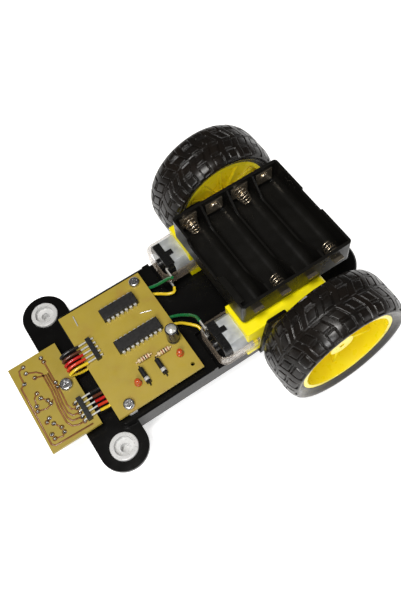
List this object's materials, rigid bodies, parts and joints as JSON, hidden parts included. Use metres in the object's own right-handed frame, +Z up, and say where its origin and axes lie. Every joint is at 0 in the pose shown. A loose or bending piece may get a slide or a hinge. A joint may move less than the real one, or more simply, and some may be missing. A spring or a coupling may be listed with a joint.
{
  "type": "line follower robot",
  "caption": "Two-wheeled line follower robot: geared motors under an open battery holder, a control board, and a low sensor board over the line in front.",
  "frame": {"origin": "on the ground, at the middle of the robot's overall box", "axes": "+X forwards to the line sensors, +Y to the robot's left, +Z up"},
  "size_m": [0.1788, 0.1318, 0.0664],
  "materials": {
    "board": "olive yellow laminate",
    "brass": "turned brass",
    "capacitor_sleeve": "shrunk sleeve",
    "chassis_black": "fine textured black sheet plastic",
    "chip_black": "moulded epoxy",
    "contact": "nickel plated spring steel",
    "diode_black": "moulded epoxy with a pale band",
    "end_cap_black": "glossy black plastic",
    "foam": "foam tape",
    "gear_white": "natural moulded acetal",
    "gearbox_yellow": "moulded yellow plastic",
    "header_black": "moulded black plastic",
    "holder_black": "glossy moulded black plastic",
    "led_orange": "tinted clear epoxy",
    "magnet": "sintered ferrite",
    "nylon_white": "satin white nylon",
    "resistor_beige": "lacquered ceramic with coloured bands",
    "rim_yellow": "moulded yellow plastic",
    "rotor": "stacked laminations on a steel shaft",
    "sensor_black": "moulded black plastic",
    "sensor_laminate": "olive yellow laminate with brown copper tracks",
    "steel": "bright zinc plated steel",
    "strap_clear": "clear flexible plastic",
    "tin": "tinned metal",
    "tyre": "moulded black rubber",
    "wire_black": "black insulation",
    "wire_green": "green insulation",
    "wire_mixed": "coloured insulation",
    "wire_red": "red insulation",
    "wire_yellow": "yellow insulation"
  },
  "bodies": {
    "frame": {"battery_contacts": "contact", "battery_holder": "holder_black", "battery_lead_black": "wire_black", "battery_lead_red": "wire_red", "battery_springs": "contact", "board_screws": "steel", "board_spacers": "nylon_white", "capacitor": "capacitor_sleeve", "chassis": "chassis_black", "chip_leads": "tin", "diodes": "diode_black", "driver_chip": "chip_black", "front_glide_left": "nylon_white", "front_glide_right": "nylon_white", "gear_axles": "steel", "gearbox_inner_left": "gearbox_yellow", "gearbox_inner_right": "gearbox_yellow", "gearbox_outer_left": "gearbox_yellow", "gearbox_outer_right": "gearbox_yellow", "gearbox_screws": "steel", "header_pins": "tin", "header_strips": "header_black", "holder_tape": "foam", "indicator_leds": "led_orange", "jumper_links": "tin", "line_sensors": "sensor_black", "logic_chip": "chip_black", "main_board": "board", "motor_can_left": "steel", "motor_can_right": "steel", "motor_end_cap_left": "end_cap_black", "motor_end_cap_right": "end_cap_black", "motor_leads_green": "wire_green", "motor_leads_yellow": "wire_yellow", "motor_magnets": "magnet", "motor_nuts": "steel", "motor_screws": "steel", "motor_strap_left": "strap_clear", "motor_strap_right": "strap_clear", "motor_terminals": "tin", "resistors": "resistor_beige", "ribbon_wires": "wire_mixed", "sensor_board": "sensor_laminate"},
    "wheel_left": {"wheel_rim_left": "rim_yellow", "tyre_left": "tyre", "wheel_shaft_left": "gear_white", "output_gear_left": "gear_white"},
    "middle_gear_train_left": {"middle_gear_left": "gear_white"},
    "crown_gear_train_left": {"crown_gear_left": "gear_white"},
    "rotor_left": {"motor_rotor_left": "rotor", "motor_pinion_left": "brass"},
    "wheel_right": {"wheel_rim_right": "rim_yellow", "tyre_right": "tyre", "wheel_shaft_right": "gear_white", "output_gear_right": "gear_white"},
    "middle_gear_train_right": {"middle_gear_right": "gear_white"},
    "crown_gear_train_right": {"crown_gear_right": "gear_white"},
    "rotor_right": {"motor_rotor_right": "rotor", "motor_pinion_right": "brass"}
  },
  "joints": [
    {"name": "rotor_spin_left", "type": "hinge", "parent": "frame", "child": "rotor_left", "pos_m": [-0.0124, 0.02515, 0.0332], "axis": [1, 0, 0], "continuous": true},
    {"name": "wheel_spin_left", "type": "hinge", "parent": "frame", "child": "wheel_left", "pos_m": [-0.0484, 0.0529, 0.0332], "axis": [0, 1, 0], "continuous": true},
    {"name": "middle_gear_spin_left", "type": "hinge", "parent": "frame", "child": "middle_gear_train_left", "pos_m": [-0.03783, 0.02515, 0.0332], "axis": [0, 1, 0], "continuous": true},
    {"name": "crown_gear_spin_left", "type": "hinge", "parent": "frame", "child": "crown_gear_train_left", "pos_m": [-0.02882, 0.02265, 0.0332], "axis": [0, 1, 0], "continuous": true},
    {"name": "rotor_spin_right", "type": "hinge", "parent": "frame", "child": "rotor_right", "pos_m": [-0.0142, -0.02815, 0.0332], "axis": [1, 0, 0], "continuous": true},
    {"name": "wheel_spin_right", "type": "hinge", "parent": "frame", "child": "wheel_right", "pos_m": [-0.0502, -0.0529, 0.0332], "axis": [0, 1, 0], "continuous": true},
    {"name": "middle_gear_spin_right", "type": "hinge", "parent": "frame", "child": "middle_gear_train_right", "pos_m": [-0.03963, -0.02815, 0.0332], "axis": [0, 1, 0], "continuous": true},
    {"name": "crown_gear_spin_right", "type": "hinge", "parent": "frame", "child": "crown_gear_train_right", "pos_m": [-0.03062, -0.02565, 0.0332], "axis": [0, 1, 0], "continuous": true}
  ],
  "couplings": [
    {"joint": "wheel_spin_left", "follows": "rotor_spin_left", "ratio": 0.020833},
    {"joint": "middle_gear_spin_left", "follows": "rotor_spin_left", "ratio": -0.083333},
    {"joint": "crown_gear_spin_left", "follows": "rotor_spin_left", "ratio": 0.33333},
    {"joint": "wheel_spin_right", "follows": "rotor_spin_right", "ratio": -0.020833},
    {"joint": "middle_gear_spin_right", "follows": "rotor_spin_right", "ratio": 0.083333},
    {"joint": "crown_gear_spin_right", "follows": "rotor_spin_right", "ratio": -0.33333}
  ]
}
